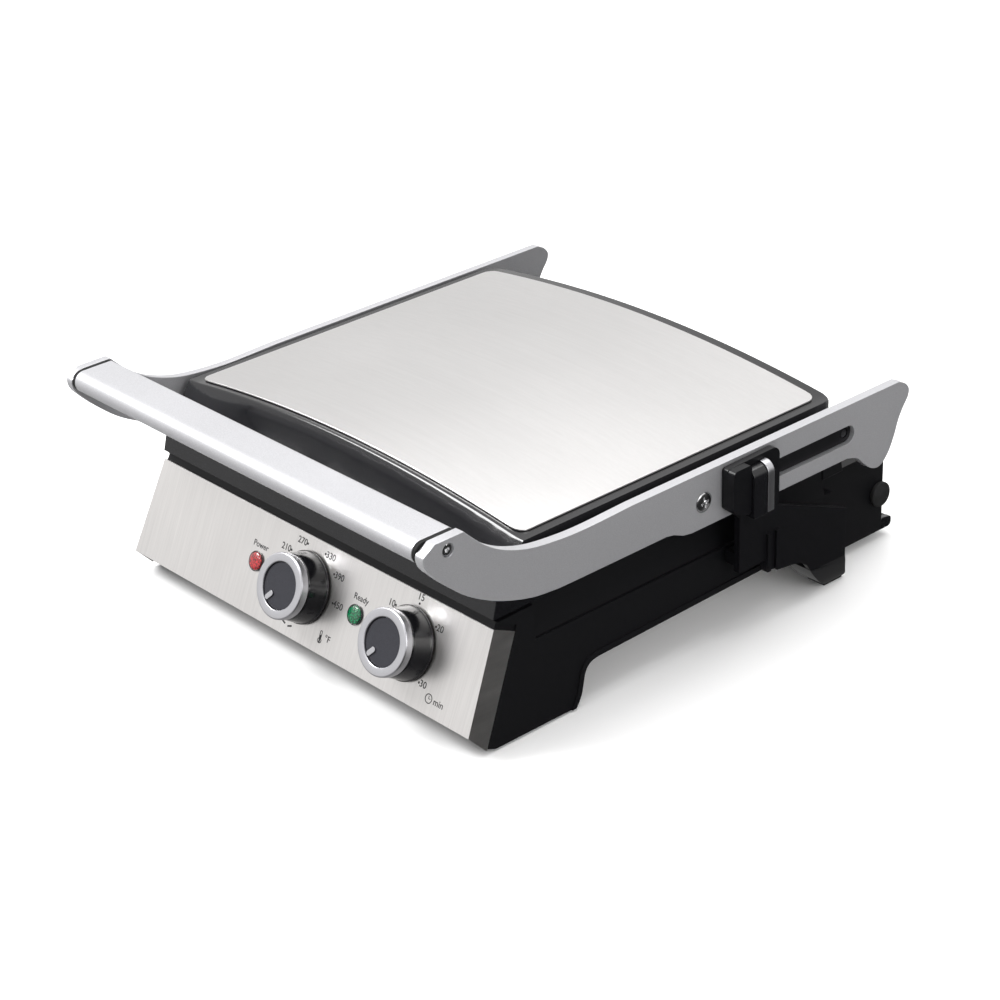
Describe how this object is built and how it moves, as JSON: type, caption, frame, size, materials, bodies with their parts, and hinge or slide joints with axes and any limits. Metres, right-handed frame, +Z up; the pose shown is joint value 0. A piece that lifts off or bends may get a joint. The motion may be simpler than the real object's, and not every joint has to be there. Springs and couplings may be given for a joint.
{
  "type": "panini press",
  "caption": "Contact grill with a sloped control panel and a crowned flat lid that floats between two slotted arms joined by a handle bar.",
  "frame": {"origin": "middle of the press at table height", "axes": "+Z up, the control panel faces -Y, +X is the side of the lock slider"},
  "size_m": [0.3632, 0.4135, 0.1531],
  "materials": {
    "black_plastic": "satin moulded black",
    "gloss_plastic": "glossy black",
    "steel": "brushed stainless steel",
    "aluminium": "satin aluminium",
    "cast": "dark non-stick coated casting",
    "rubber": "black rubber",
    "charcoal": "charcoal",
    "red_lens": "clear red",
    "green_lens": "clear green"
  },
  "bodies": {
    "base": {"base_housing": "black_plastic", "front_panel": "steel", "bottom_cover": "steel", "front_pad_left": "rubber", "front_pad_right": "rubber", "rear_pad_left": "rubber", "rear_pad_right": "rubber", "rear_leg_left": "black_plastic", "rear_leg_right": "black_plastic", "rear_bumper_left": "rubber", "rear_bumper_right": "rubber", "cord_inlet": "rubber", "guide_mount_left": "black_plastic", "guide_mount_right": "black_plastic", "arm_guide_left": "black_plastic", "arm_guide_right": "black_plastic", "hinge_post_left": "black_plastic", "hinge_post_right": "black_plastic", "lower_plate": "cast", "lower_element": "steel", "lower_reflector": "steel", "thermostat_switch": "charcoal", "timer_switch": "charcoal", "power_bezel": "gloss_plastic", "power_lamp": "red_lens", "ready_bezel": "gloss_plastic", "ready_lamp": "green_lens"},
    "thermostat_dial": {"thermostat_knob": "gloss_plastic", "thermostat_ring": "aluminium", "thermostat_disc": "charcoal", "thermostat_pointer": "aluminium"},
    "timer_dial": {"timer_knob": "gloss_plastic", "timer_ring": "aluminium", "timer_disc": "charcoal", "timer_pointer": "aluminium"},
    "lock": {"lock_slider": "gloss_plastic", "lock_trim": "aluminium"},
    "tray": {"drip_tray": "gloss_plastic"},
    "hinge_block": {"hinge_rod": "steel", "slot_shoe_left": "black_plastic", "slot_shoe_right": "black_plastic"},
    "arms": {"arm_left": "aluminium", "arm_right": "aluminium", "handle_bar": "aluminium", "handle_gasket_left": "rubber", "handle_gasket_right": "rubber", "handle_screw_left": "steel", "handle_screw_right": "steel", "pivot_screw_left": "steel", "pivot_screw_right": "steel"},
    "lid": {"lid_housing": "gloss_plastic", "top_cover": "steel", "upper_plate": "cast", "upper_element": "steel", "upper_reflector": "steel", "float_bush_left": "rubber", "float_bush_right": "rubber"}
  },
  "joints": [
    {"name": "lid_hinge", "type": "hinge", "parent": "base", "child": "hinge_block", "pos_m": [0, 0.13805, 0.1014], "axis": [-1, 0, 0], "range_deg": [0, 90]},
    {"name": "arm_slide", "type": "slide", "parent": "hinge_block", "child": "arms", "axis": [0, 1, 0], "range_m": [0, 0.006]},
    {"name": "lid_float", "type": "hinge", "parent": "arms", "child": "lid", "pos_m": [0, 0.00995, 0.1019], "axis": [-1, 0, 0], "range_deg": [-10.8, 0]},
    {"name": "thermostat_turn", "type": "hinge", "parent": "base", "child": "thermostat_dial", "pos_m": [0, -0.16042, 0.04661], "axis": [0, 0.9126, -0.4087], "range_deg": [0, 245]},
    {"name": "timer_turn", "type": "hinge", "parent": "base", "child": "timer_dial", "pos_m": [0.0952, -0.16042, 0.04661], "axis": [0, 0.9126, -0.4087], "range_deg": [0, 275]},
    {"name": "lock_slide", "type": "slide", "parent": "base", "child": "lock", "axis": [0, 0, 1], "range_m": [-0.012, 0]},
    {"name": "tray_slide", "type": "slide", "parent": "base", "child": "tray", "axis": [0, 1, 0], "range_m": [0, 0.05]}
  ],
  "couplings": [
    {"joint": "lid_float", "follows": "lid_hinge", "ratio": -0.12}
  ]
}
